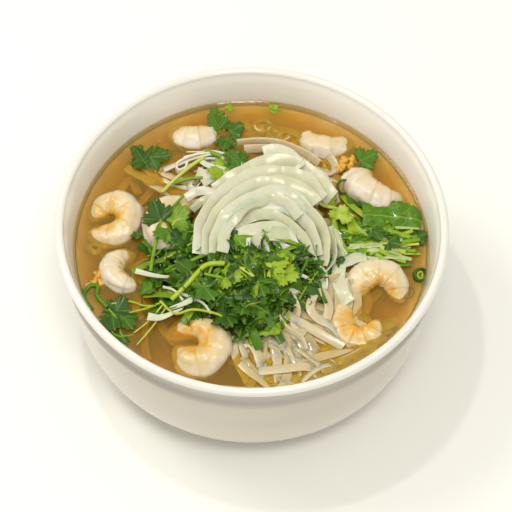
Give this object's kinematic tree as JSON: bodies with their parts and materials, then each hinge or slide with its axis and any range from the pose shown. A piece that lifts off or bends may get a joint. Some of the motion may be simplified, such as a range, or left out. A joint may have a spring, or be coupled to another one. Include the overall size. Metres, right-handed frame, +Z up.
{
  "type": "bowl of pho noodle soup",
  "caption": "Deep white porcelain bowl of clear noodle soup with flat rice noodles, peeled shrimps, raw onion slices and chopped coriander.",
  "frame": {"origin": "on the table under the middle of the bowl's foot ring", "axes": "+Z up; +Y towards the back of the bowl as seen by the person eating; +X to their right"},
  "size_m": [0.21, 0.21, 0.0929],
  "materials": {
    "porcelain": "glossy white glaze with a warm tint",
    "broth": "clear amber liquid, shown solid here",
    "rice_noodle": "moist, slightly translucent",
    "shrimp": "moist cooked flesh with orange streaks",
    "herb": "fresh leaf",
    "onion": "wet, translucent"
  },
  "bodies": {
    "root": {"bowl": "porcelain", "broth": "broth", "noodles": "rice_noodle", "shrimp_1": "shrimp", "shrimp_2": "shrimp", "shrimp_3": "shrimp", "shrimp_4": "shrimp", "shrimp_5": "shrimp", "shrimp_6": "shrimp", "shrimp_7": "shrimp", "shrimp_8": "shrimp", "shrimp_9": "shrimp", "herbs": "herb", "herbs_side": "herb", "onion_slices": "onion", "leaf_back_left": "herb", "leaf_back": "herb", "leaf_back_right": "herb", "leaf_front_left": "herb"}
  },
  "joints": []
}
